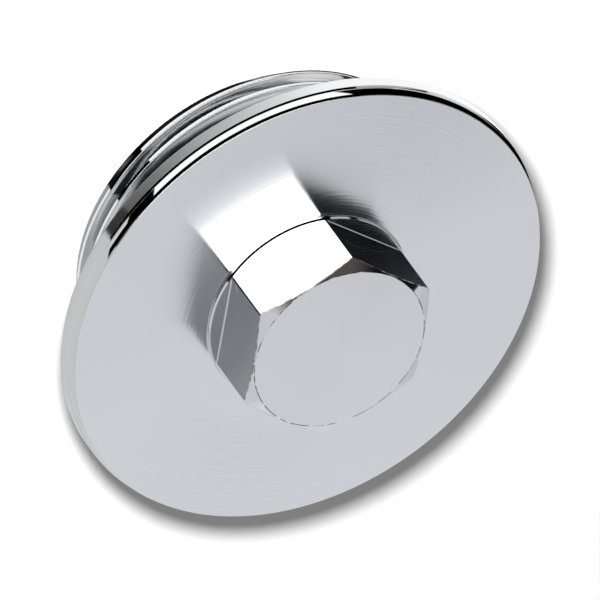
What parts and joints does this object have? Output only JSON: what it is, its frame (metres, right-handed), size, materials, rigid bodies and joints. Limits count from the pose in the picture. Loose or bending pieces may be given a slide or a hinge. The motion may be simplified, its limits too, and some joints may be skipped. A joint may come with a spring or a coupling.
{
  "type": "pipe plug",
  "caption": "Chrome-plated plug with a hexagon head, a wide round flange and a hollow skirt with an outside pipe thread, screwed in to close a pipe socket.",
  "frame": {"origin": "where the screw axis meets the flange's seat, the flat underside of the flange", "axes": "+Z along the screw axis, out of the pipe towards the hexagon head; +X through a corner of the hexagon"},
  "size_m": [0.063, 0.063, 0.0265],
  "materials": {
    "plated_brass": "polished"
  },
  "bodies": {
    "root": {"plug_body": "plated_brass"}
  },
  "joints": []
}
